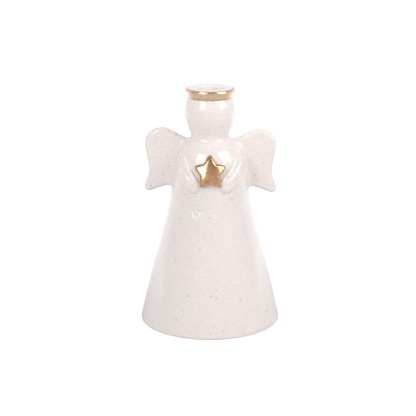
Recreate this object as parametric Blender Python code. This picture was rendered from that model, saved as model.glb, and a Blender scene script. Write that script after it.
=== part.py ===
"""Angel candle holder, slip-cast in one piece and glazed.

The figure stands on the open foot of a bell-shaped robe and faces -Y. Its sleeves
hold a raised star on the chest, two flat wings grow from its back, and a taper
candle stands in the round socket in the top of the head, inside a halo.

Everything outside is one turned body with the wings, sleeves and star joined to
it. The bell-shaped hollow is cut last, so the wall is closed everywhere.
"""

import math

import bmesh
import bpy
from mathutils import Vector

# Heights of the turned body, stacked from the foot upwards, in metres
ROBE_HEIGHT = 0.1010
CHEST_HEIGHT = 0.0410
SHOULDER_HEIGHT = 0.0176
HEAD_HEIGHT = 0.0324
HALO_HEIGHT = 0.0080

# Radii of the turned body
FOOT_RADIUS = 0.0594
WAIST_RADIUS = 0.0347
CHEST_RADIUS = 0.0328
SHOULDER_RADIUS = 0.0286
NECK_RADIUS = 0.0162
HEAD_RADIUS = 0.0214
CROWN_RADIUS = 0.0189

# Halo, a raised collar around the top of the head
HALO_RADIUS = 0.0210
HALO_TOP_RADIUS = 0.0193
HALO_ROUND = 0.0024

# Candle socket: it narrows towards its floor, so that a taper wedges upright
SOCKET_MOUTH_RADIUS = 0.01140
SOCKET_FLOOR_RADIUS = 0.01080
SOCKET_DEPTH = 0.0220
SOCKET_FLOOR_THICKNESS = 0.0050
MOUTH_ROUND = 0.0018

# Hollow bell and its foot ring
WALL = 0.0045
FOOT_ROUND = 0.0015
FOOT_INNER_ROUND = 0.0008

# Wings: height of each corner above the shoulder, distance from the axis, and rounding
WING_THICKNESS = 0.0090
WING_EDGE = 0.0034
WING_BACK = 0.0010
WING_SWEEP = 0.06
WING_ROOT = 0.0100
WING_ROOT_TOP = 0.0107
WING_ROOT_BOTTOM = -0.0156
WING_LOBE = 0.0602
WING_LOBE_TOP = 0.0356
WING_LOBE_ROUND = 0.0145
WING_WAIST = 0.0511
WING_WAIST_DROP = -0.0126
WING_WAIST_ROUND = 0.0240
WING_TIP = 0.0582
WING_TIP_DROP = -0.0338
WING_TIP_ROUND = 0.0043
RIGHT_WING_DROP = 0.0014
RIGHT_WING_REACH = 0.0010

# Star on the chest: a five-pointed star before its corners are rounded
STAR_RISE = 0.0334
STAR_RADIUS = 0.0143
STAR_NOTCH_RADIUS = 0.0089
STAR_SQUEEZE = 0.970
STAR_POINT_ROUND = 0.0016
STAR_NOTCH_ROUND = 0.0016
STAR_WALL = 0.0010
STAR_BEVEL = 0.0026
STAR_BEVEL_RISE = 0.0018
STAR_CROWN = 0.0017

# Sleeves: bands raised over the chest, each from under a shoulder to a hand beside the
# star. A point of their centre line is a distance from the front and a rise.
SLEEVE_START = (0.0300, 0.0070)
SLEEVE_SHOULDER = (0.0340, 0.0010)
SLEEVE_ELBOW = (0.0230, -0.0080)
SLEEVE_HAND = (0.0140, -0.0183)
SLEEVE_HEIGHT = 0.0023
SLEEVE_SUNK = 0.0010
SLEEVE_FADE = 0.62
SLEEVE_INNER = 0.0088
SLEEVE_SEAM = 0.0080
SLEEVE_OUTER = 0.0160
SLEEVE_EDGE = 6.0
FOLD_HEIGHT = 0.0009
FOLD_WIDTH = 0.0013
HAND_HEIGHT = 0.0027
HAND_RADIUS = 0.0064
HAND_EDGE = 2.5

# Fineness of the mesh
SEGMENTS = 60
ARC_STEPS = 4
SLEEVE_STEPS = 14
SLEEVE_INNER_SHARES = (1.08, 1.0, 0.95, 0.84, 0.60, 0.15)
SLEEVE_OUTER_SHARES = (0.0, 0.10, 0.30, 0.55, 0.85, 1.08)

# Levels of the turned body, from the stacked heights
SHOULDER = ROBE_HEIGHT + CHEST_HEIGHT
NECK = SHOULDER + SHOULDER_HEIGHT
CROWN = NECK + HEAD_HEIGHT
TOP = CROWN + HALO_HEIGHT
SOCKET_FLOOR = TOP - SOCKET_DEPTH
STAR_HEIGHT = ROBE_HEIGHT + STAR_RISE
SLOPE_TOP = SHOULDER + 0.51 * SHOULDER_HEIGHT
SLOPE_FOOT = SHOULDER + 0.75 * SHOULDER_HEIGHT
CHEEK = NECK + 0.28 * HEAD_HEIGHT
TEMPLE = NECK + 0.64 * HEAD_HEIGHT
BROW = NECK + 0.785 * HEAD_HEIGHT

# Materials: colour, roughness and metallic value
GLAZE = ("cream_glaze", (0.86, 0.83, 0.80, 1.0), 0.12, 0.0)
GOLD = ("gold_lustre", (0.72, 0.50, 0.27, 1.0), 0.22, 1.0)
GLAZE_SLOT, GOLD_SLOT = 0, 1


def outline_stations():
    """Height, radius and slope of the turned outline, from the foot to the crown."""
    cone = (WAIST_RADIUS - FOOT_RADIUS) / ROBE_HEIGHT
    fall = SHOULDER_RADIUS - NECK_RADIUS
    swell = HEAD_RADIUS - NECK_RADIUS
    close = HEAD_RADIUS - CROWN_RADIUS
    return [
        (0.0, FOOT_RADIUS, 0.82 * cone),
        (ROBE_HEIGHT, WAIST_RADIUS, 0.92 * cone),
        (ROBE_HEIGHT + 0.5 * CHEST_HEIGHT, CHEST_RADIUS, -0.12),
        (SHOULDER, SHOULDER_RADIUS, -0.27),
        (SLOPE_TOP, NECK_RADIUS + 0.65 * fall, -0.75),
        (SLOPE_FOOT, NECK_RADIUS + 0.27 * fall, -1.40),
        (NECK, NECK_RADIUS, 0.0),
        (CHEEK, NECK_RADIUS + 0.57 * swell, 1.35 * swell / (TEMPLE - NECK)),
        (TEMPLE, HEAD_RADIUS, 0.0),
        (BROW, CROWN_RADIUS + 0.75 * close, -1.1 * close / (CROWN - TEMPLE)),
        (CROWN, CROWN_RADIUS, -1.3 * close / (CROWN - TEMPLE)),
    ]


def outline(height):
    """Radius and slope of the turned outline at a height, by cubic Hermite spans."""
    stations = outline_stations()
    height = min(max(height, stations[0][0]), stations[-1][0])
    for low, high in zip(stations, stations[1:]):
        if height <= high[0]:
            break
    span = high[0] - low[0]
    t = (height - low[0]) / span
    rise = high[1] - low[1]
    m0, m1 = low[2] * span, high[2] * span
    radius = low[1] + m0 * t + (3 * rise - 2 * m0 - m1) * t**2 + (m0 + m1 - 2 * rise) * t**3
    gain = m0 + 2 * (3 * rise - 2 * m0 - m1) * t + 3 * (m0 + m1 - 2 * rise) * t**2
    return radius, gain / span


def outline_heights():
    """Heights where the outline has a point: few along the cone, more on the curves."""
    spans = [(0.0, ROBE_HEIGHT, 4), (ROBE_HEIGHT, SHOULDER, 7), (SHOULDER, NECK, 8), (NECK, CROWN, 10)]
    heights = [low + (high - low) * i / count for low, high, count in spans for i in range(count)]
    return heights + [CROWN]


def arc(centre_r, centre_z, size_r, size_z, start, end, steps=ARC_STEPS):
    """Points (radius, height) on a quarter ellipse from one angle to another, in degrees."""
    points = []
    for i in range(steps + 1):
        a = math.radians(start + (end - start) * i / steps)
        points.append((centre_r + size_r * math.cos(a), centre_z + size_z * math.sin(a)))
    return points


def body_profile():
    """Closed profile from the axis at the foot, up the outside, down into the socket."""
    foot_radius = outline(FOOT_ROUND)[0]
    foot = arc(foot_radius - FOOT_ROUND, FOOT_ROUND, FOOT_ROUND, FOOT_ROUND, -90, 0)
    figure = [(outline(z)[0], z) for z in outline_heights() if z > FOOT_ROUND]
    rim = HALO_RADIUS - HALO_TOP_RADIUS
    halo = arc(HALO_TOP_RADIUS, TOP - HALO_ROUND, rim, HALO_ROUND, 0, 90)
    mouth_z = TOP - MOUTH_ROUND
    mouth = arc(SOCKET_MOUTH_RADIUS + MOUTH_ROUND, mouth_z, MOUTH_ROUND, MOUTH_ROUND, 90, 180)
    socket = [(SOCKET_FLOOR_RADIUS, SOCKET_FLOOR), (0.0, SOCKET_FLOOR)]
    return [(0.0, 0.0)] + foot + figure + halo + mouth + socket


def hollow_profile():
    """Closed profile of the bell-shaped hollow: the outline moved in by the wall, with a dome."""
    below = -2 * FOOT_ROUND
    inner_neck = NECK_RADIUS - WALL
    dome_z = SOCKET_FLOOR - SOCKET_FLOOR_THICKNESS - inner_neck
    side = []
    for z in outline_heights():
        radius, slope = outline(z)
        length = math.hypot(1.0, slope)
        inner = (radius - WALL / length, z + WALL * slope / length)
        if FOOT_INNER_ROUND < inner[1] < dome_z and inner[0] > inner_neck:
            side.append(inner)
    edge = outline(0.0)[0] - WALL
    foot = [(edge + FOOT_INNER_ROUND, below), (edge + FOOT_INNER_ROUND, 0.0), (edge, FOOT_INNER_ROUND)]
    dome = arc(0.0, dome_z, inner_neck, inner_neck, 0, 90, 7)[:-1]
    return [(0.0, below)] + foot + side + dome + [(0.0, dome_z + inner_neck)]


def new_object(name, mesh_builder):
    """Make an object from a bmesh that is checked to face outwards."""
    mesh_builder.normal_update()
    bmesh.ops.recalc_face_normals(mesh_builder, faces=mesh_builder.faces[:])
    if mesh_builder.calc_volume(signed=True) < 0:
        bmesh.ops.reverse_faces(mesh_builder, faces=mesh_builder.faces[:])
    mesh = bpy.data.meshes.new(name)
    mesh_builder.to_mesh(mesh)
    mesh_builder.free()
    mesh.shade_smooth()
    mesh.set_sharp_from_angle(angle=math.radians(40))
    obj = bpy.data.objects.new(name, mesh)
    bpy.context.collection.objects.link(obj)
    return obj


def turn(name, profile):
    """Turn a profile of (radius, height) points once around the Z axis."""
    bm = bmesh.new()
    verts = [bm.verts.new((r, 0.0, z)) for r, z in profile]
    edges = [bm.edges.new(pair) for pair in zip(verts, verts[1:])]
    bmesh.ops.spin(bm, geom=verts + edges, cent=(0, 0, 0), axis=(0, 0, 1),
                   angle=math.tau, steps=SEGMENTS, use_duplicate=False)
    bmesh.ops.remove_doubles(bm, verts=bm.verts[:], dist=1e-6)
    return new_object(name, bm)


def rounded(corners, steps):
    """Points and outward normals along a closed outline of (x, y, radius) corners.

    The corners run anticlockwise. Each is replaced by an arc that meets both edges.
    """
    result = []
    count = len(corners)
    for i, (x, y, radius) in enumerate(corners):
        here = Vector((x, y))
        back = (Vector(corners[i - 1][:2]) - here).normalized()
        ahead = (Vector(corners[(i + 1) % count][:2]) - here).normalized()
        turn_sign = 1.0 if ahead.x * back.y - ahead.y * back.x > 0 else -1.0
        half = 0.5 * back.angle(ahead)
        centre = here + (back + ahead).normalized() * radius / math.sin(half)
        first = (here + back * radius / math.tan(half) - centre).normalized()
        last = (here + ahead * radius / math.tan(half) - centre).normalized()
        for k in range(steps + 1):
            spoke = first.slerp(last, k / steps)
            result.append((centre + spoke * radius, spoke * turn_sign))
    return result


def loft(name, rings, cap_ends=True):
    """Join rings of points, each a closed loop of the same count, into one closed shell."""
    bm = bmesh.new()
    loops = [[bm.verts.new(point) for point in ring] for ring in rings]
    count = len(rings[0])
    for lower, upper in zip(loops, loops[1:]):
        for i in range(count):
            j = (i + 1) % count
            bm.faces.new((lower[i], lower[j], upper[j], upper[i]))
    if cap_ends:
        bm.faces.new(loops[0][::-1])
        bm.faces.new(loops[-1])
    return new_object(name, bm)


def wing(name, side, drop, reach):
    """One wing: a flat plate with a rounded rim, swept back from the shoulder blades.

    side is -1 for the left wing and 1 for the right. drop lowers it, reach widens it.
    """
    corners = [
        (WING_ROOT, WING_ROOT_BOTTOM, 0.001),
        (WING_TIP, WING_TIP_DROP, WING_TIP_ROUND),
        (WING_WAIST, WING_WAIST_DROP, WING_WAIST_ROUND),
        (WING_LOBE, WING_LOBE_TOP, WING_LOBE_ROUND),
        (WING_ROOT, WING_ROOT_TOP, 0.001),
    ]
    stretch = reach / (WING_LOBE - WING_ROOT)
    corners = [(x + stretch * (x - WING_ROOT), z - drop, radius) for x, z, radius in corners]
    outline_points = rounded(corners, 2 * ARC_STEPS)
    edge = min(WING_EDGE, 0.95 * WING_TIP_ROUND)
    rings = []
    for i in range(2 * ARC_STEPS - 1):
        a = math.pi * (i / (2 * ARC_STEPS - 2) - 0.5)
        inset, offset = edge * (1 - math.cos(a)), 0.5 * WING_THICKNESS * math.sin(a)
        ring = []
        for point, normal in outline_points:
            x, z = point - inset * normal
            ring.append((side * x, WING_BACK + WING_SWEEP * x + offset, SHOULDER + z))
        rings.append(ring)
    return loft(name, rings)


def on_body(across, height, proud):
    """Point at a distance along the surface from the front, raised by proud."""
    radius, slope = outline(height)
    angle = across / radius
    length = math.hypot(1.0, slope)
    reach = radius + proud / length
    return Vector((reach * math.sin(angle), -reach * math.cos(angle), height - proud * slope / length))


def star_crown(radius):
    """How much the star is puffed at a distance from its middle."""
    return STAR_CROWN * max(0.0, 1 - (radius / STAR_RADIUS)**2)**2


def star():
    """Puffed five-pointed star that follows the curve of the chest, on a short wall."""
    corners = []
    for i in range(10):
        a = math.radians(90 + 36 * i)
        radius, round_radius = ((STAR_RADIUS, STAR_POINT_ROUND), (STAR_NOTCH_RADIUS, STAR_NOTCH_ROUND))[i % 2]
        corners.append((radius * math.cos(a) * STAR_SQUEEZE, radius * math.sin(a), round_radius))
    edge_points = [point for point, _ in rounded(corners, 2)]
    chord = math.hypot(STAR_RADIUS - STAR_NOTCH_RADIUS * math.cos(math.pi / 5),
                       STAR_NOTCH_RADIUS * math.sin(math.pi / 5))
    apothem = STAR_RADIUS * STAR_NOTCH_RADIUS * math.sin(math.pi / 5) / chord
    inner = 1 - STAR_BEVEL / apothem
    levels = [(1.0, -0.5 * WALL, False), (1.0, STAR_WALL, True)]
    for i in range(1, 4):
        a = math.radians(30 * i)
        scale = 1 - (1 - inner) * (1 - math.cos(a))
        levels.append((scale, STAR_WALL + STAR_BEVEL_RISE * math.sin(a), True))
    rings = []
    for scale, proud, crowned in levels:
        rings.append([on_body(p.x * scale, STAR_HEIGHT + p.y * scale,
                              proud + (star_crown(p.length * scale) if crowned else 0.0))
                      for p in edge_points])
    for share in (0.6, 0.25):
        radius = share * STAR_NOTCH_RADIUS
        proud = STAR_WALL + STAR_BEVEL_RISE + star_crown(radius)
        rings.append([on_body(radius * p.x / p.length, STAR_HEIGHT + radius * p.y / p.length, proud)
                      for p in edge_points])
    return loft("star", rings)


def sleeve_rise(gap, width, inside, hand):
    """Share of the band's height and of the fold's, at a distance from a sleeve's centre line.

    The band has a firm inner edge and dies away softly outwards, until both sides are
    as firm as the other at the hand. A fold runs along the centre line and dies away there.
    """
    u = gap / width
    left = 1 - u**(SLEEVE_EDGE + (HAND_EDGE - SLEEVE_EDGE) * hand)
    firm = math.sqrt(left) if left > 0 else max(3 * left, -0.3)
    soft = (1.2 * (1 - u * u)**2 if u < 1 else 0.5 * (1 - u)) - 0.2
    band = firm if inside else soft + (firm - soft) * hand
    return band, math.exp(-(gap / FOLD_WIDTH)**2) * (1 - hand)


def sleeve(name, side):
    """Sleeve that leaves the shoulder, bends inwards and ends in a rounded hand."""
    path = [Vector((across, SHOULDER + rise)) for across, rise in
            (SLEEVE_START, SLEEVE_SHOULDER, SLEEVE_ELBOW, SLEEVE_HAND)]
    stations = []
    for i in range(SLEEVE_STEPS + 1):
        t = i / SLEEVE_STEPS
        weights = ((1 - t)**3, 3 * t * (1 - t)**2, 3 * t * t * (1 - t), t**3)
        slopes = (-3 * (1 - t)**2, 3 * (1 - t) * (1 - 3 * t), 3 * t * (2 - 3 * t), 3 * t * t)
        centre = sum((w * p for w, p in zip(weights, path)), Vector((0.0, 0.0)))
        ahead = sum((w * p for w, p in zip(slopes, path)), Vector((0.0, 0.0))).normalized()
        stations.append((t, centre, ahead, 0.0))
    reach = SLEEVE_INNER_SHARES[0] * HAND_RADIUS
    for a in (20, 40, 55, 68, 80):
        stations.append((1.0, centre, ahead, reach * math.sin(math.radians(a))))

    rings = []
    for t, centre, ahead, lead in stations:
        fade = (1 - min(1.0, t / SLEEVE_FADE))**2
        tall = (SLEEVE_HEIGHT + (HAND_HEIGHT - SLEEVE_HEIGHT) * t) * (1 - fade)
        spread = SLEEVE_SEAM + (SLEEVE_OUTER - SLEEVE_SEAM) * min(1.0, t / SLEEVE_FADE)
        narrow = math.sqrt(1 - (lead / reach)**2)
        over, under = [], []
        for share, sign in [(u, 1) for u in SLEEVE_INNER_SHARES] + [(u, -1) for u in SLEEVE_OUTER_SHARES]:
            full = SLEEVE_INNER if sign > 0 else spread
            width = full + (HAND_RADIUS - full) * t**1.5
            sideways = share * width * narrow
            band, fold = sleeve_rise(math.hypot(sideways, lead), width, sign > 0, t**3)
            proud = tall * band + FOLD_HEIGHT * fold * (1 - fade) - SLEEVE_SUNK * fade
            place = centre + lead * ahead - sign * sideways * Vector((-ahead.y, ahead.x))
            over.append(on_body(side * place.x, place.y, proud))
            under.append(on_body(side * place.x, place.y, -0.5 * WALL))
        rings.append(over + under[::-1])
    return loft(name, rings)


def add_material(obj, name, colour, roughness, metallic):
    """Give an object one more Principled material."""
    material = bpy.data.materials.get(name) or bpy.data.materials.new(name)
    material.use_nodes = True
    shader = material.node_tree.nodes["Principled BSDF"]
    shader.inputs["Base Color"].default_value = colour
    shader.inputs["Roughness"].default_value = roughness
    shader.inputs["Metallic"].default_value = metallic
    obj.data.materials.append(material)


def gild_halo(body):
    """Gold covers the halo's flare and rounded rim, but not the flat top inside it."""
    for face in body.data.polygons:
        radius = math.hypot(face.center.x, face.center.y)
        if face.center.z > CROWN and radius > 0.98 * HALO_TOP_RADIUS:
            face.material_index = GOLD_SLOT


def combine(body, tool, operation):
    """Join a piece to the body or cut it away, and leave the piece as a hidden tool."""
    modifier = body.modifiers.new(f"{operation.lower()}_{tool.name}", "BOOLEAN")
    modifier.operation = operation
    modifier.solver = "EXACT"
    modifier.object = tool
    tool.hide_render = True
    tool.display_type = "WIRE"


def main():
    for obj in list(bpy.data.objects):
        bpy.data.objects.remove(obj, do_unlink=True)

    angel = turn("angel", body_profile())
    additions = [
        wing("left_wing", -1, 0.0, 0.0),
        wing("right_wing", 1, RIGHT_WING_DROP, RIGHT_WING_REACH),
        sleeve("left_sleeve", -1),
        sleeve("right_sleeve", 1),
        star(),
    ]
    hollow = turn("hollow", hollow_profile())

    for obj in [angel, hollow] + additions:
        add_material(obj, *GLAZE)
        add_material(obj, *GOLD)
    gild_halo(angel)
    for face in bpy.data.objects["star"].data.polygons:
        face.material_index = GOLD_SLOT

    for piece in additions:
        combine(angel, piece, "UNION")
    combine(angel, hollow, "DIFFERENCE")


main()
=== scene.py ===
"""Looks of the angel candle holder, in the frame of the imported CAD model.

The casting is meshed from a distance field with the part's own sizes, apart from a finer
star and a crisper sleeve edge. Wings, sleeves and star grow out of the turned body with the
soft fillets that glaze leaves.
"""

import math

import bpy
import numpy as np
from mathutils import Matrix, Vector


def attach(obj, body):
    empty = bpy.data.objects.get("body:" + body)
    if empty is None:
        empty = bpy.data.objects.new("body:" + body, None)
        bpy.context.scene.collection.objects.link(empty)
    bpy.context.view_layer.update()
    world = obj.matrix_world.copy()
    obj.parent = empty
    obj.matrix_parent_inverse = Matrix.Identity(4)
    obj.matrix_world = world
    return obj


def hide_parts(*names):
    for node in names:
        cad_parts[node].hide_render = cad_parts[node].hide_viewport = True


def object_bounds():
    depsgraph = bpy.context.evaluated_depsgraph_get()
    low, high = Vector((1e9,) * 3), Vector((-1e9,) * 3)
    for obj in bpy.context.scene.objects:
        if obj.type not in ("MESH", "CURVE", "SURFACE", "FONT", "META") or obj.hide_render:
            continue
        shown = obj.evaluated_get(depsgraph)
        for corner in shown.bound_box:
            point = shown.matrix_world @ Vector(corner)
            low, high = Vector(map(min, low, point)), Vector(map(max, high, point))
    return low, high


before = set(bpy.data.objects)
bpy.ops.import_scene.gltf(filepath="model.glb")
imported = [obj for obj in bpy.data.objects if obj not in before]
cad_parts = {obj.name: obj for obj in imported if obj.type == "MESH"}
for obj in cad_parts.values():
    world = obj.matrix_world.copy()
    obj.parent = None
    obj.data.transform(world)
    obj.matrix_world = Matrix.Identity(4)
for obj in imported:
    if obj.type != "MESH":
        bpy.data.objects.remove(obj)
cad_box = [list(corner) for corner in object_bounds()]

# Sizes of the part, in metres, as its source has them. Only the star's and SLEEVE_EDGE differ:
# here the star has points of its own (reach, rounding) and leans back about its hinge, a height
# above its centre
ROBE, CHEST, SHOULDER_RISE, HEAD, HALO = 0.1010, 0.0410, 0.0176, 0.0324, 0.0080
FOOT_R, WAIST_R, CHEST_R, SHOULDER_R = 0.0594, 0.0347, 0.0328, 0.0286
NECK_R, HEAD_R, CROWN_R = 0.0162, 0.0214, 0.0189
HALO_R, HALO_TOP_R, HALO_ROUND = 0.0210, 0.0193, 0.0024
MOUTH_R, FLOOR_R, MOUTH_ROUND = 0.0114, 0.0108, 0.0018
SOCKET_DEPTH, FLOOR_THICK = 0.0220, 0.0050
WALL, FOOT_ROUND, FOOT_INNER = 0.0045, 0.0015, 0.0008
WING_THICK, WING_EDGE, WING_BACK, WING_SWEEP = 0.0090, 0.0034, 0.0010, 0.06
WING_ROOT, WING_ROOT_TOP, WING_ROOT_BOTTOM = 0.0100, 0.0107, -0.0156
WING_TIP, WING_TIP_DROP, WING_TIP_ROUND = 0.0582, -0.0338, 0.0043
WING_WAIST, WING_WAIST_DROP, WING_WAIST_ROUND = 0.0511, -0.0126, 0.0240
WING_LOBE, WING_LOBE_TOP, WING_LOBE_ROUND = 0.0602, 0.0356, 0.0145
WING_ROOT_ROUND, WING_SPAN = 0.001, 0.05
RIGHT_WING_REACH, RIGHT_WING_DROP = 0.0010, 0.0014
STAR_RISE, STAR_R, NOTCH_R, NOTCH_ROUND, STAR_SQUEEZE = 0.0338, 0.0143, 0.0087, 0.0018, 0.945
STAR_POINTS = (
    (0.0152, 0.0018), (0.0156, 0.0022), (0.0148, 0.0014), (0.0148, 0.0014), (0.0156, 0.0022))
STAR_WALL, BEVEL, BEVEL_RISE, STAR_CROWN = 0.0010, 0.0025, 0.0018, 0.0011
STAR_LEAN, STAR_HINGE = 0.13, 0.0060
SLEEVE_LINE = ((0.0300, 0.0070), (0.0340, 0.0010), (0.0230, -0.0080), (0.0140, -0.0183))
SLEEVE_HEIGHT, SLEEVE_SUNK, SLEEVE_FADE = 0.0023, 0.0010, 0.62
SLEEVE_INNER, SLEEVE_SEAM, SLEEVE_OUTER, SLEEVE_EDGE = 0.0088, 0.0080, 0.0160, 15.0
FOLD_HEIGHT, FOLD_WIDTH = 0.0009, 0.0013
HAND_HEIGHT, HAND_R, HAND_EDGE = 0.0027, 0.0064, 2.5

SHOULDER = ROBE + CHEST
NECK = SHOULDER + SHOULDER_RISE
CROWN = NECK + HEAD
TOP = CROWN + HALO
TEMPLE = NECK + 0.64 * HEAD
BROW = NECK + 0.785 * HEAD
STAR_Z = ROBE + STAR_RISE

# Finish: the fillets, where the gold ends on the halo, where the glaze ends above the foot, and
# how many triangles the casting keeps
SLEEVE_FILLET, STAR_FILLET, WING_FILLET = 0.0010, 0.0008, 0.0050
GOLD_TOP_R = 0.0189
GLAZE_LINE = 0.0006
TRIANGLES = 190000


# ---------------------------------------------------------------- sections


def stations():
    """Height, radius and slope along the turned outline."""
    cone = (WAIST_R - FOOT_R) / ROBE
    return [
        (0.0, FOOT_R, 0.82 * cone),
        (ROBE, WAIST_R, 0.92 * cone),
        (ROBE + 0.5 * CHEST, CHEST_R, -0.12),
        (SHOULDER, SHOULDER_R, -0.27),
        (SHOULDER + 0.51 * SHOULDER_RISE, NECK_R + 0.65 * (SHOULDER_R - NECK_R), -0.75),
        (SHOULDER + 0.75 * SHOULDER_RISE, NECK_R + 0.27 * (SHOULDER_R - NECK_R), -1.40),
        (NECK, NECK_R, 0.0),
        (NECK + 0.28 * HEAD, NECK_R + 0.57 * (HEAD_R - NECK_R),
         1.35 * (HEAD_R - NECK_R) / (TEMPLE - NECK)),
        (TEMPLE, HEAD_R, 0.0),
        (BROW, CROWN_R + 0.75 * (HEAD_R - CROWN_R), 1.1 * (CROWN_R - HEAD_R) / (CROWN - TEMPLE)),
        (CROWN, CROWN_R, 1.3 * (CROWN_R - HEAD_R) / (CROWN - TEMPLE)),
    ]


def outline(heights):
    """Radius and slope of the turned outline at an array of heights."""
    table = np.array(stations())
    z = np.clip(heights, table[0, 0], table[-1, 0])
    i = np.clip(np.searchsorted(table[:, 0], z, side="right") - 1, 0, len(table) - 2)
    low, high = table[i], table[i + 1]
    span, rise = high[:, 0] - low[:, 0], high[:, 1] - low[:, 1]
    t, m0, m1 = (z - low[:, 0]) / span, low[:, 2] * span, high[:, 2] * span
    a, b = 3 * rise - 2 * m0 - m1, m0 + m1 - 2 * rise
    return low[:, 1] + m0 * t + a * t**2 + b * t**3, (m0 + 2 * a * t + 3 * b * t**2) / span


HEIGHTS = np.concatenate([np.arange(0, ROBE, 0.001), np.arange(ROBE, CROWN, 0.0004), [CROWN]])
RADII, SLOPES = outline(HEIGHTS)


def arc(centre, size, start, end, steps=14):
    """Points on a part of an ellipse between two angles in degrees."""
    a = np.radians(np.linspace(start, end, steps + 1))
    return np.stack([centre[0] + size[0] * np.cos(a), centre[1] + size[1] * np.sin(a)], 1)


def body_section():
    """Section of the turned body with its halo and candle socket."""
    keep = HEIGHTS > FOOT_ROUND
    foot_r = np.interp(FOOT_ROUND, HEIGHTS, RADII)
    return np.concatenate([
        [(0, 0)],
        arc((foot_r - FOOT_ROUND, FOOT_ROUND), (FOOT_ROUND, FOOT_ROUND), -90, 0),
        np.stack([RADII[keep], HEIGHTS[keep]], 1),
        arc((HALO_TOP_R, TOP - HALO_ROUND), (HALO_R - HALO_TOP_R, HALO_ROUND), 0, 90),
        arc((MOUTH_R + MOUTH_ROUND, TOP - MOUTH_ROUND), (MOUTH_ROUND, MOUTH_ROUND), 90, 180),
        [(FLOOR_R, TOP - SOCKET_DEPTH), (0, TOP - SOCKET_DEPTH)],
    ])


def hollow_section():
    """Section of the bell-shaped hollow: the outline moved in by the wall, with a dome."""
    neck = NECK_R - WALL
    dome = TOP - SOCKET_DEPTH - FLOOR_THICK - neck
    length = np.hypot(1, SLOPES)
    r, z = RADII - WALL / length, HEIGHTS + WALL * SLOPES / length
    keep = (z > FOOT_INNER) & (z < dome) & (r > neck)
    edge = FOOT_R - WALL
    return np.concatenate([
        [(0, -0.003), (edge + FOOT_INNER, -0.003), (edge + FOOT_INNER, 0), (edge, FOOT_INNER)],
        np.stack([r[keep], z[keep]], 1),
        arc((0, dome), (neck, neck), 0, 90),
    ])


def rounded(corners, steps=10):
    """Closed outline of (x, y, radius) corners, anticlockwise, each replaced by an arc."""
    points, count = [], len(corners)
    for i, (x, y, radius) in enumerate(corners):
        here = np.array((x, y))
        back, ahead = (np.array(corners[(i + k) % count][:2]) - here for k in (-1, 1))
        back, ahead = back / np.hypot(*back), ahead / np.hypot(*ahead)
        half = 0.5 * math.acos(np.clip(back @ ahead, -1, 1))
        middle = back + ahead
        centre = here + middle / np.hypot(*middle) * radius / math.sin(half)
        first, last = (here + d * radius / math.tan(half) - centre for d in (back, ahead))
        sweep = math.pi - 2 * half
        for k in range(steps + 1):
            t = k / steps
            arm = math.sin((1 - t) * sweep) * first + math.sin(t * sweep) * last
            points.append(centre + arm / math.sin(sweep))
    return np.array(points)


def wing_outline(reach, drop):
    """Outline of a wing, (distance from the axis, height). reach widens it, drop lowers it."""
    corners = [
        (WING_ROOT, WING_ROOT_BOTTOM, WING_ROOT_ROUND),
        (WING_TIP, WING_TIP_DROP, WING_TIP_ROUND),
        (WING_WAIST, WING_WAIST_DROP, WING_WAIST_ROUND),
        (WING_LOBE, WING_LOBE_TOP, WING_LOBE_ROUND),
        (WING_ROOT, WING_ROOT_TOP, WING_ROOT_ROUND),
    ]
    return rounded([(x + reach * (x - WING_ROOT) / WING_SPAN, SHOULDER + z - drop, r)
                    for x, z, r in corners])


def star_outline():
    """Outline of the star, centred on itself, with rounded points and notches."""
    corners = []
    for i in range(10):
        a = math.radians(90 + 36 * i)
        radius, bend = (NOTCH_R, NOTCH_ROUND) if i % 2 else STAR_POINTS[i // 2]
        corners.append((radius * math.cos(a) * STAR_SQUEEZE, radius * math.sin(a), bend))
    return rounded(corners, 5)


# ---------------------------------------------------------- distance field


def polygon_distance(points, x, y):
    """Signed distance to a closed polygon, negative inside it."""
    best, inside = np.full(x.shape, np.inf), np.zeros(x.shape, bool)
    for (x0, y0), (x1, y1) in zip(points, np.roll(points, -1, 0)):
        dx, dy = x1 - x0, y1 - y0
        px, py = x - x0, y - y0
        t = np.clip((px * dx + py * dy) / max(dx * dx + dy * dy, 1e-16), 0, 1)
        np.minimum(best, (px - t * dx) ** 2 + (py - t * dy) ** 2, out=best)
        if dy:
            inside ^= ((y0 > y) != (y1 > y)) & (px < py * dx / dy)
    return np.where(inside, -1, 1) * np.sqrt(best)


class Section:
    """Distance to a plane outline, kept in a table that is read with linear interpolation."""

    def __init__(self, points, low, high, step=0.00025):
        self.low, self.step = np.array(low), step
        u, v = (np.arange(a, b + step, step) for a, b in zip(low, high))
        self.table = polygon_distance(points, *np.meshgrid(u, v, indexing="ij"))

    def __call__(self, u, v):
        size = self.table.shape
        fu = np.clip((u - self.low[0]) / self.step, 0, size[0] - 1.001)
        fv = np.clip((v - self.low[1]) / self.step, 0, size[1] - 1.001)
        i, j = fu.astype(int), fv.astype(int)
        a, b, t = fu - i, fv - j, self.table
        return ((1 - a) * ((1 - b) * t[i, j] + b * t[i, j + 1])
                + a * ((1 - b) * t[i + 1, j] + b * t[i + 1, j + 1]))


def turned(section):
    """A section of a turned form, doubled across the axis."""
    both_sides = np.concatenate([section, (section * (-1, 1))[::-1]])
    return Section(both_sides, (0, -0.003), (0.068, 0.203))


body_table, hollow_table = turned(body_section()), turned(hollow_section())
wing_tables = {side: Section(wing_outline(reach, drop), (0.004, 0.095), (0.066, 0.180))
               for side, reach, drop in ((-1, 0.0, 0.0), (1, RIGHT_WING_REACH, RIGHT_WING_DROP))}
star_table = Section(star_outline(), (-0.026, -0.026), (0.026, 0.026), 0.0002)


def plate(edge, across, inset, half):
    """Distance to a plate whose rim is rounded by an ellipse: inset inwards, half upwards."""
    u, v = np.maximum(edge + inset, 0) / inset, across / half
    size = np.maximum(np.hypot(u, v), 1e-6)
    return (size - 1) * size / np.maximum(np.hypot(u / inset, v / half), 1e-3 / half)


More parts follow.
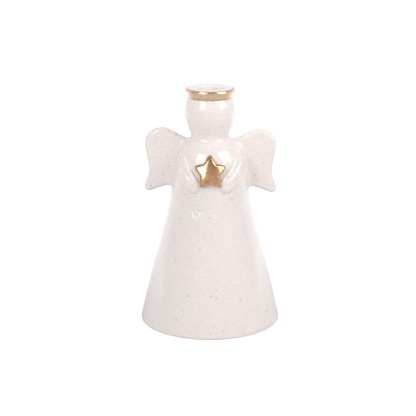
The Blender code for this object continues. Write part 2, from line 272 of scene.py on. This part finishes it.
def on_chest(p, proud):
    """Place of points on the unrolled body, (distance from the front, height)."""
    slope = np.interp(p[:, 2], HEIGHTS, SLOPES)
    height = p[:, 2] + proud * slope / np.hypot(1, slope)
    return np.interp(height, HEIGHTS, RADII) * np.arctan2(p[:, 0], -p[:, 1]), height


def sleeve_line():
    """Points along the ridge of a sleeve, on the unrolled body."""
    t = np.linspace(0, 1, 25)
    weights = np.stack([(1 - t) ** 3, 3 * t * (1 - t) ** 2, 3 * t * t * (1 - t), t**3], 1)
    return weights @ (np.array(SLEEVE_LINE) + (0, SHOULDER))


def sleeve_distance(side, p, proud):
    """Distance to the sleeve on one side: a ridge over the chest that ends in a hand."""
    across, height = on_chest(p * (side, 1, 1), proud)
    line = sleeve_line()
    best, place, inside = np.full(len(p), np.inf), np.zeros(len(p)), np.zeros(len(p), bool)
    for i, ((x0, z0), (x1, z1)) in enumerate(zip(line, line[1:])):
        dx, dz, px, pz = x1 - x0, z1 - z0, across - x0, height - z0
        t = np.clip((px * dx + pz * dz) / (dx * dx + dz * dz), 0, 1)
        gap = np.hypot(px - t * dx, pz - t * dz)
        near = gap < best
        best[near], place[near] = gap[near], (i + t[near]) / (len(line) - 1)
        inside[near] = (dx * pz - dz * px)[near] < 0
    hand = place**3
    spread = SLEEVE_SEAM + (SLEEVE_OUTER - SLEEVE_SEAM) * np.minimum(1, place / SLEEVE_FADE)
    width = np.where(inside, SLEEVE_INNER, spread)
    width += (HAND_R - width) * place**1.5
    fade = (1 - np.minimum(1, place / SLEEVE_FADE)) ** 2
    tall = (SLEEVE_HEIGHT + (HAND_HEIGHT - SLEEVE_HEIGHT) * place) * (1 - fade)

    def rise(gap):
        u = gap / width
        left = 1 - u ** (SLEEVE_EDGE + (HAND_EDGE - SLEEVE_EDGE) * hand)
        firm = np.where(left > 0, np.sqrt(np.maximum(left, 0)), 3 * left)
        soft = np.where(u < 1, 1.2 * (1 - np.minimum(u, 1) ** 2) ** 2, 0.5 * (1 - u)) - 0.2
        band = np.where(inside, firm, soft + (firm - soft) * hand)
        fold = FOLD_HEIGHT * np.exp(-((gap / FOLD_WIDTH) ** 2)) * (1 - fade) * (1 - hand)
        return tall * band + fold - SLEEVE_SUNK * fade

    steep = np.clip((rise(best + 0.0001) - rise(np.maximum(best - 0.0001, 0))) / 0.0002, -3, 3)
    return (proud - rise(best)) / np.hypot(1, steep)


def star_distance(p, proud):
    """Distance to the puffed star, and to its outline on the chest."""
    across, height = on_chest(p, proud)
    edge = star_table(across, height - STAR_Z)
    crown = STAR_CROWN * np.clip(1 - (across**2 + (height - STAR_Z) ** 2) / STAR_R**2, 0, 1) ** 2
    face = STAR_WALL + crown + STAR_LEAN * (STAR_HINGE - height + STAR_Z)
    return plate(edge, np.maximum(proud - face, 0), BEVEL, BEVEL_RISE), edge


def near_star(p):
    """Which points lie near enough to the star for it to matter."""
    return (np.abs(p[:, 0]) < 0.024) & (p[:, 1] < 0) & (np.abs(p[:, 2] - STAR_Z) < 0.024)


def joined(a, b, size):
    """Smooth union: a fillet of about this size where two surfaces meet."""
    near = np.maximum(size - np.abs(a - b), 0) / size
    return np.minimum(a, b) - near**2 * size / 4


def casting(p):
    """Distance to the whole casting at points (n, 3), negative in the clay."""
    radius = np.hypot(p[:, 0], p[:, 1])
    body = body_table(radius, p[:, 2])
    shape = body.copy()
    for side in (-1, 1):
        near = ((side * p[:, 0] > 0.001) & (p[:, 1] < 0.012) & (p[:, 2] > 0.110) & (p[:, 2] < 0.160)
                & (body > -0.006) & (body < 0.012))
        shape[near] = joined(shape[near], sleeve_distance(side, p[near], body[near]), SLEEVE_FILLET)
    near = near_star(p)
    shape[near] = joined(shape[near], star_distance(p[near], body[near])[0], STAR_FILLET)
    for side in (-1, 1):
        near = ((side * p[:, 0] > 0.005) & (p[:, 1] > -0.022)
                & (p[:, 2] > 0.096) & (p[:, 2] < 0.179))
        q = p[near]
        edge = wing_tables[side](np.abs(q[:, 0]), q[:, 2])
        across = np.abs(q[:, 1] - WING_BACK - WING_SWEEP * np.abs(q[:, 0]))
        wing = plate(edge, across, WING_EDGE, 0.5 * WING_THICK)
        shape[near] = joined(shape[near], wing, WING_FILLET)
    return np.maximum(shape, -hollow_table(radius, p[:, 2]))


# ------------------------------------------------------------------ mesher


def axis(*spans):
    """Grid lines along an axis: (start, end, step) spans set end to end."""
    lines = [np.linspace(a, b, max(1, round((b - a) / step)), endpoint=False)
             for a, b, step in spans]
    return np.concatenate(lines + [[spans[-1][1]]])


def project(p, rounds=3):
    """Move points along the field's slope onto the surface."""
    for _ in range(rounds):
        value, slope = casting(p), slopes_of(p)
        move = value / np.maximum((slope**2).sum(1), 0.2)
        p = p - slope * np.clip(move, -0.0006, 0.0006)[:, None]
    return p


def slopes_of(p, step=0.0001):
    """Slope of the field at points."""
    columns = []
    for k in range(3):
        shift = np.zeros(3)
        shift[k] = step
        columns.append((casting(p + shift) - casting(p - shift)) / (2 * step))
    return np.stack(columns, 1)


def net(lines):
    """Surface net of the casting on a grid: one vertex in each cell that the surface crosses."""
    shape = tuple(len(line) for line in lines)
    field = np.empty(shape)
    for i, x in enumerate(lines[0]):
        y, z = np.meshgrid(lines[1], lines[2], indexing="ij")
        field[i] = casting(np.stack([np.full(y.size, x), y.ravel(), z.ravel()], 1)).reshape(y.shape)
    cells = tuple(n - 1 for n in shape)
    total, count = np.zeros(cells + (3,)), np.zeros(cells)
    crossings = []
    for k in range(3):
        low, high = [slice(None)] * 3, [slice(None)] * 3
        low[k], high[k] = slice(0, -1), slice(1, None)
        a, b = field[tuple(low)], field[tuple(high)]
        at = np.argwhere((a < 0) != (b < 0))
        t = a[tuple(at.T)] / (a[tuple(at.T)] - b[tuple(at.T)])
        place = np.stack([lines[n][at[:, n]] for n in range(3)], 1)
        place[:, k] += t * (lines[k][at[:, k] + 1] - lines[k][at[:, k]])
        m, n = (k + 1) % 3, (k + 2) % 3
        for dm in (0, 1):
            for dn in (0, 1):
                cell = at.copy()
                cell[:, m] -= dm
                cell[:, n] -= dn
                np.add.at(total, tuple(cell.T), place)
                np.add.at(count, tuple(cell.T), 1)
        crossings.append((at, a[tuple(at.T)] < 0, m, n))
    used = count > 0
    index = np.full(cells, -1)
    index[used] = np.arange(used.sum())
    faces = []
    for at, outward, m, n in crossings:
        corners = []
        for dm, dn in ((1, 1), (0, 1), (0, 0), (1, 0)):
            cell = at.copy()
            cell[:, m] -= dm
            cell[:, n] -= dn
            corners.append(index[tuple(cell.T)])
        quad = np.stack(corners, 1)
        faces.append(np.where(outward[:, None], quad, quad[:, ::-1]))
    return total[used] / count[used][:, None], np.concatenate(faces)


def relax(points, faces, rounds=2):
    """Even out the net: each vertex moves towards its neighbours and back onto the surface."""
    pairs = np.concatenate([faces[:, [i, (i + 1) % 4]] for i in range(4)])
    for _ in range(rounds):
        total = np.zeros_like(points)
        for k in range(3):
            total[:, k] = np.bincount(pairs[:, 0], points[pairs[:, 1], k], len(points))
        number = np.bincount(pairs[:, 0], minlength=len(points))
        points = project(0.5 * points + 0.5 * total / number[:, None], 2)
    return points


def gilding(p):
    """How far inside the gold each vertex lies, in metres: the halo's flare and rim, the star."""
    radius = np.hypot(p[:, 0], p[:, 1])
    body = body_table(radius, p[:, 2])
    halo = np.minimum(p[:, 2] - CROWN, radius - GOLD_TOP_R)
    star = np.full(len(p), -0.01)
    near = near_star(p)
    edge = star_distance(p[near], body[near])[1]
    star[near] = np.minimum(0.0003 - edge, body[near] - 0.0001)
    return np.maximum(halo, star)


def make_casting():
    """The casting as one mesh, with exact normals and the attribute gilt."""
    lines = (
        axis((-0.0612, -0.034, 0.00125), (-0.034, 0.034, 0.0006), (0.034, 0.0612, 0.00125)),
        axis((-0.0612, -0.042, 0.00125), (-0.042, -0.014, 0.0006), (-0.014, 0.022, 0.0008),
             (0.022, 0.0612, 0.00125)),
        axis((-0.001, 0.004, 0.0005), (0.004, 0.100, 0.0020), (0.100, 0.118, 0.0010),
             (0.118, 0.163, 0.0006), (0.163, 0.186, 0.0010), (0.186, 0.201, 0.0006)),
    )
    points, faces = net(lines)
    points = relax(project(points), faces)
    dense = bpy.data.meshes.new("angel_dense")
    dense.from_pydata(points.tolist(), [], faces.tolist())
    casting_object = bpy.data.objects.new("angel_casting", dense)
    bpy.context.scene.collection.objects.link(casting_object)

    # Flat stretches are thinned out, and every vertex takes the exact normal of the form
    thin = casting_object.modifiers.new("thin_out", "DECIMATE")
    thin.ratio = TRIANGLES / (2 * len(faces))
    depsgraph = bpy.context.evaluated_depsgraph_get()
    mesh = bpy.data.meshes.new_from_object(casting_object.evaluated_get(depsgraph))
    mesh.name = "angel_casting"
    casting_object.modifiers.clear()
    casting_object.data = mesh
    bpy.data.meshes.remove(dense)
    points = np.empty(3 * len(mesh.vertices))
    mesh.vertices.foreach_get("co", points)
    low, high = (np.array(corner) for corner in cad_box)
    points = np.clip(project(points.reshape(-1, 3), 2), low, high)
    mesh.vertices.foreach_set("co", points.ravel())
    mesh.shade_smooth()
    slopes = slopes_of(points)
    lengths = np.maximum(np.linalg.norm(slopes, axis=1), 1e-6)
    mesh.normals_split_custom_set_from_vertices(slopes / lengths[:, None])
    mesh.attributes.new("gilt", "FLOAT", "POINT").data.foreach_set("value", 1000 * gilding(points))
    return casting_object


# --------------------------------------------------------------- materials

CREAM, CREAM_GREY = (0.895, 0.826, 0.796, 1), (0.875, 0.824, 0.794, 1)
CREAM_RUN, CREAM_PAINTED_TOP_LIGHT, CREAM_THICK_AND_PAINTED_LIGHT = (
    (0.900, 0.810, 0.690, 1), (0.950, 0.890, 0.862, 1), (0.970, 0.910, 0.850, 1))
GRAIN_WARM, GRAIN_COOL = (0.720, 0.560, 0.500, 1), (0.700, 0.700, 0.620, 1)
BLOTCH_WARM, BLOTCH_COOL = (0.830, 0.705, 0.680, 1), (0.740, 0.740, 0.680, 1)
BARE_CLAY = (0.74, 0.69, 0.61, 1)
GOLD_LIGHT, GOLD_DARK = (0.84, 0.55, 0.33, 1), (0.64, 0.37, 0.21, 1)
GOLD_PATCH, GOLD_HALO_PAINTED_SHEEN, GOLD_RIM = (
    (0.52, 0.27, 0.14, 1), (0.97, 0.73, 0.53, 1), (0.30, 0.165, 0.09, 1))

# Iron specks: how many cells there are to a metre, the size of a speck and the share of cells
# that hold one, both as a part of 1, then the strength and the colour
SPECKS = (
    (420.0, 0.24, 0.26, 0.34, (0.56, 0.38, 0.31, 1)),
    (200.0, 0.25, 0.16, 0.40, (0.58, 0.37, 0.29, 1)),
    (105.0, 0.165, 0.22, 0.40, (0.58, 0.34, 0.24, 1)),
)

# Where the glaze gathered in ripples: centre and radius
RIPPLES = (
    ((-0.0140, -0.0305, 0.1125), 0.0066),
    ((-0.0115, -0.0325, 0.1030), 0.0062),
    ((0.0180, -0.0285, 0.1120), 0.0045),
)
RIPPLE_HEIGHT, STROKE_HEIGHT = 42.0, 0.5
RELIEF = 0.00005
GLAZE_IOR = 1.62


class Nodes:
    """Small helper that adds nodes to a tree and links their sockets."""

    def __init__(self, tree):
        self.tree = tree

    def add(self, kind, values=None, **props):
        node = self.tree.nodes.new(kind)
        for name, value in props.items():
            setattr(node, name, value)
        for name, value in (values or {}).items():
            socket = node.inputs[name]
            if isinstance(value, bpy.types.NodeSocket):
                self.tree.links.new(value, socket)
            else:
                socket.default_value = value
        return node

    def math(self, operation, a, b=0.0, clamp=False):
        node = self.add("ShaderNodeMath", {0: a, 1: b}, operation=operation, use_clamp=clamp)
        return node.outputs[0]

    def ramp(self, value, low, high, to_low=0.0, to_high=1.0):
        node = self.add("ShaderNodeMapRange", {"Value": value, "From Min": low, "From Max": high,
                                               "To Min": to_low, "To Max": to_high})
        return node.outputs[0]

    def mix(self, factor, a, b):
        node = self.add("ShaderNodeMix", {"Factor": factor, "A": a, "B": b}, data_type="FLOAT")
        return node.outputs[0]

    def colour(self, factor, a, b, blend="MIX"):
        values = {0: factor, 6: a, 7: b}
        node = self.add("ShaderNodeMix", values, data_type="RGBA", blend_type=blend)
        return node.outputs[2]

    def noise(self, place, scale, detail=2.0, roughness=0.5):
        return self.add("ShaderNodeTexNoise", {"Vector": place, "Scale": scale, "Detail": detail,
                                               "Roughness": roughness}).outputs["Fac"]

    def stretched(self, place, scale):
        return self.add("ShaderNodeMapping", {"Vector": place, "Scale": scale}).outputs[0]

    def blob(self, place, centre, radius):
        """Soft round mask about a point."""
        gap = self.add("ShaderNodeVectorMath", {0: place, 1: centre}, operation="DISTANCE")
        return self.ramp(gap.outputs["Value"], radius, 0.35 * radius)

    def specks(self, place, scale, size, share):
        """Mask of round specks: one in each cell of the grid, for a share of the cells."""
        cell = self.add("ShaderNodeTexVoronoi", {"Vector": place, "Scale": scale})
        pick = self.add("ShaderNodeSeparateColor", {0: cell.outputs["Color"]})
        radius = self.ramp(pick.outputs[1], 0, 1, 0.45 * size, size)
        away = self.math("DIVIDE", cell.outputs["Distance"], radius)
        spot = self.math("SUBTRACT", 1.0, away, clamp=True)
        chosen = self.math("LESS_THAN", pick.outputs[0], share)
        return self.math("MULTIPLY", self.ramp(spot, 0.0, 0.45), chosen)


def casting_material():
    """Speckled cream glaze, gold lustre where the attribute gilt is above zero, and a bare foot."""
    material = bpy.data.materials.new("glaze_and_gold_lustre")
    material.use_nodes = True
    n = Nodes(material.node_tree)
    shader = material.node_tree.nodes["Principled BSDF"]
    place = n.add("ShaderNodeTexCoord").outputs["Object"]
    height = n.add("ShaderNodeSeparateXYZ", {0: place}).outputs[2]

    # Glaze: a warm white that clouds and runs softly downwards, with iron specks
    run = n.noise(n.stretched(place, (230, 230, 24)), 1.0, 3.0)
    cloud = n.noise(place, 38.0, 3.0)
    glaze = n.colour(n.ramp(cloud, 0.35, 0.65), CREAM, CREAM_GREY)
    where = n.ramp(n.noise(place, 17.0, 1.0), 0.42, 0.62)
    tint = n.math("MULTIPLY", n.ramp(run, 0.50, 0.72), where)
    glaze = n.colour(n.math("MULTIPLY", tint, 0.65), glaze, CREAM_RUN)
    # Painted light: the glaze is painted paler from the waist up to the head, standing in for the
    # light on the upper body
    glaze = n.colour(n.ramp(height, 0.095, 0.165, 0.0, 0.8), glaze, CREAM_PAINTED_TOP_LIGHT)
    grain = n.noise(place, 780.0, 2.0, 0.7)
    glaze = n.colour(n.ramp(grain, 0.50, 0.68, 0.0, 0.40), glaze, GRAIN_WARM)
    glaze = n.colour(n.ramp(grain, 0.47, 0.30, 0.0, 0.30), glaze, GRAIN_COOL)
    blotch = n.noise(place, 290.0, 1.0)
    glaze = n.colour(n.ramp(blotch, 0.52, 0.70, 0.0, 0.30), glaze, BLOTCH_WARM)
    glaze = n.colour(n.ramp(blotch, 0.46, 0.30, 0.0, 0.35), glaze, BLOTCH_COOL)
    for scale, size, share, strength, iron in SPECKS:
        speck = n.specks(place, scale, size, share)
        glaze = n.colour(n.math("MULTIPLY", speck, strength), glaze, iron)

    # It lies thicker and cleaner inside the socket, and is painted paler there as painted light
    # that stands in for the light filling the socket
    spread = n.add("ShaderNodeVectorMath", {0: place, 1: (1, 1, 0)}, operation="MULTIPLY")
    spread = n.add("ShaderNodeVectorMath", {0: spread.outputs[0]}, operation="LENGTH")
    spread = spread.outputs["Value"]
    socket_pool_and_light = n.ramp(spread, MOUTH_R + 0.0016, MOUTH_R)
    socket_pool_and_light = n.math("MULTIPLY", socket_pool_and_light, n.ramp(height, 0.172, 0.178))
    glaze = n.colour(n.math("MULTIPLY", socket_pool_and_light, 0.95), glaze, CREAM_THICK_AND_PAINTED_LIGHT)

    # Gold lustre, brushed on by hand
    brush = n.noise(n.stretched(place, (900, 900, 220)), 1.0, 4.0, 0.6)
    patch = n.noise(place, 240.0, 3.0, 0.65)
    gold = n.colour(n.ramp(brush, 0.35, 0.70), GOLD_LIGHT, GOLD_DARK)
    gold = n.colour(n.ramp(patch, 0.48, 0.68, 0.0, 0.7), gold, GOLD_PATCH)
    # The halo's gold is painted paler: a painted reflection standing in for the whitish sheen it
    # catches
    gold = n.colour(n.ramp(height, 0.180, 0.190, 0.0, 0.60), gold, GOLD_HALO_PAINTED_SHEEN)

    # Its edge wanders a little and is darker. depth is in millimetres inside that edge
    wander = n.ramp(n.noise(place, 420.0, 2.0), 0.0, 1.0, -0.22, 0.22)
    inside = n.add("ShaderNodeAttribute", attribute_name="gilt").outputs["Fac"]
    depth = n.math("ADD", inside, wander)
    rim = n.ramp(depth, 0.15, 0.85, 1.0, 0.0)
    rim = n.math("MULTIPLY", rim, n.ramp(height, 0.170, 0.190, 0.85, 0.40))
    gold = n.colour(rim, gold, GOLD_RIM)
    gilt = n.ramp(depth, -0.05, 0.07)

    # The foot ring was wiped clean of glaze
    bare = n.ramp(n.math("ADD", height, n.ramp(n.noise(place, 260.0), 0, 1, -0.0002, 0.0002)),
                  GLAZE_LINE + 0.0001, GLAZE_LINE - 0.0001)

    colour = n.colour(bare, glaze, BARE_CLAY)
    colour = n.colour(gilt, colour, gold)
    rough = n.mix(bare, n.ramp(n.noise(place, 55.0, 2.0), 0.3, 0.7, 0.012, 0.035), 0.75)
    rough = n.mix(gilt, rough, n.ramp(brush, 0.3, 0.7, 0.14, 0.26))

    # The glaze lies in soft waves, ripples where it gathered at the waist and rolls up in a
    # bead above the foot, and the brush leaves fine strokes in the gold
    wave = n.noise(place, 85.0, 2.0, 0.45)
    ripple = n.math("SUBTRACT", n.noise(place, 340.0, 1.0), 0.5)
    first, second, third = (n.blob(place, centre, radius) for centre, radius in RIPPLES)
    pools = n.math("ADD", first, n.math("ADD", second, third))
    ripple = n.math("MULTIPLY", n.math("MULTIPLY", ripple, pools), RIPPLE_HEIGHT)
    bead = n.math("ABSOLUTE", n.ramp(height, 0.0021, 0.0047, -1.0, 1.0))
    bead = n.math("SUBTRACT", 1.0, bead, clamp=True)
    bead = n.math("MULTIPLY", bead, n.ramp(n.noise(place, 26.0, 1.0), 0.40, 0.62, 1.5, 6.5))
    strokes = n.math("MULTIPLY", n.math("MULTIPLY", brush, gilt), STROKE_HEIGHT)
    relief = n.math("ADD", n.math("ADD", wave, ripple), n.math("ADD", bead, strokes))
    bump = n.add("ShaderNodeBump", {"Height": relief, "Distance": RELIEF, "Strength": 1.0})

    shader.inputs["IOR"].default_value = GLAZE_IOR
    for name, value in (("Base Color", colour), ("Roughness", rough), ("Metallic", gilt),
                        ("Normal", bump.outputs[0])):
        material.node_tree.links.new(value, shader.inputs[name])
    return material


# ------------------------------------------------------------------- scene

# White table: near edge, far edge and half width. Its near edge lies a forearm's length in
# front of the figure
FLOOR_NEAR, FLOOR_FAR, FLOOR_HALF = -0.36, 12, 6
FLOOR_WHITE = (0.72, 0.72, 0.72, 1)
LAMP_AIM = 0.14
LAMPS = (
    # name, azimuth, elevation, distance, size, power, tint
    ("softbox_left", -36, 32, 1.3, (0.62, 0.82), 6.7, (0.93, 0.96, 1.0)),
    ("softbox_right", 61, 34, 1.3, (0.76, 0.95), 7.5, (0.97, 0.975, 1.0)),
)
CAMERA_PLACE, CAMERA_TILT = (-0.00167, -1.07666, 0.39202), 15.334
CAMERA_LENS, CAMERA_SENSOR = 114.05, 36.0


def make_floor():
    """White table that runs back out of view and shows white, with the figure's own shadow."""
    mesh = bpy.data.meshes.new("floor")
    corners = [(-FLOOR_HALF, FLOOR_NEAR, 0), (FLOOR_HALF, FLOOR_NEAR, 0),
               (FLOOR_HALF, FLOOR_FAR, 0), (-FLOOR_HALF, FLOOR_FAR, 0)]
    mesh.from_pydata(corners, [], [(0, 1, 2, 3)])
    floor = bpy.data.objects.new("floor", mesh)
    bpy.context.scene.collection.objects.link(floor)
    floor.location.z = -0.00002
    material = bpy.data.materials.new("floor_white")
    material.use_nodes = True
    n = Nodes(material.node_tree)
    shader = material.node_tree.nodes["Principled BSDF"]
    shader.inputs["Base Color"].default_value = FLOOR_WHITE
    shader.inputs["Roughness"].default_value = 0.9
    shader.inputs["Specular IOR Level"].default_value = 0.0
    shader.inputs["Emission Color"].default_value = (1, 1, 1, 1)
    ray = n.add("ShaderNodeLightPath")
    place = n.add("ShaderNodeTexCoord").outputs["Object"]
    behind = n.ramp(n.add("ShaderNodeSeparateXYZ", {0: place}).outputs[1], 0.0, 0.3)
    seen = n.math("MULTIPLY", ray.outputs["Is Glossy Ray"], behind)
    seen = n.math("MAXIMUM", ray.outputs["Is Camera Ray"], seen)
    far = n.add("ShaderNodeVectorMath", {0: place}, operation="LENGTH").outputs["Value"]
    glow = n.math("MULTIPLY", seen, n.ramp(far, 0.12, 0.6, 0.53, 0.83))
    material.node_tree.links.new(glow, shader.inputs["Emission Strength"])
    mesh.materials.append(material)


def make_lamp(name, azimuth, elevation, distance, size, power, tint):
    """Rectangular softbox that faces the figure."""
    data = bpy.data.lights.new(name, "AREA")
    data.shape = "RECTANGLE"
    data.size, data.size_y = size
    data.energy, data.color = power, tint
    lamp = bpy.data.objects.new(name, data)
    bpy.context.scene.collection.objects.link(lamp)
    a, e = math.radians(azimuth), math.radians(elevation)
    lamp.location = (distance * math.sin(a) * math.cos(e), -distance * math.cos(a) * math.cos(e),
                     LAMP_AIM + distance * math.sin(e))
    lamp.rotation_euler = (math.pi / 2 - e, 0, a)


def make_world():
    """Pale studio: light from above and behind, dimmer on the side of the camera."""
    world = bpy.data.worlds.new("studio")
    bpy.context.scene.world = world
    world.use_nodes = True
    n = Nodes(world.node_tree)
    background = world.node_tree.nodes["Background"]
    direction = n.add("ShaderNodeTexCoord").outputs["Generated"]
    away = n.add("ShaderNodeSeparateXYZ", {0: direction})
    light = n.ramp(away.outputs[1], 0.0, 0.60, 0.64, 1.03)
    light = n.math("MULTIPLY", light, n.ramp(away.outputs[2], 0.25, 0.75, 1.0, 0.50))
    top = n.math("ADD", away.outputs[2], n.math("MULTIPLY", away.outputs[1], 0.6))
    light = n.math("MAXIMUM", light, n.ramp(top, 0.75, 1.10, 0.0, 1.0))
    tint = n.colour(n.ramp(away.outputs[1], -0.1, 0.4), (1.0, 0.94, 0.90, 1), (0.90, 0.92, 1.0, 1))
    level = n.add("ShaderNodeCombineColor", {0: light, 1: light, 2: light}).outputs[0]
    shade = n.colour(1.0, tint, level, "MULTIPLY")
    ray = n.add("ShaderNodeLightPath")
    colour = n.colour(ray.outputs["Is Camera Ray"], shade, (1, 1, 1, 1))
    world.node_tree.links.new(colour, background.inputs["Color"])
    background.inputs["Strength"].default_value = 1.0


def make_camera():
    """Camera a good metre in front of the figure, tilted down to it."""
    data = bpy.data.cameras.new("camera")
    data.lens, data.sensor_width = CAMERA_LENS, CAMERA_SENSOR
    camera = bpy.data.objects.new("camera", data)
    camera.location = CAMERA_PLACE
    camera.rotation_euler = (math.radians(90 - CAMERA_TILT), 0, 0)
    bpy.context.scene.collection.objects.link(camera)
    bpy.context.scene.camera = camera


make_camera()
make_world()
for lamp_settings in LAMPS:
    make_lamp(*lamp_settings)
make_floor()

angel = make_casting()
angel.data.materials.append(casting_material())
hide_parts("angel")
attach(angel, "root")

bpy.context.scene.view_settings.view_transform = "Standard"
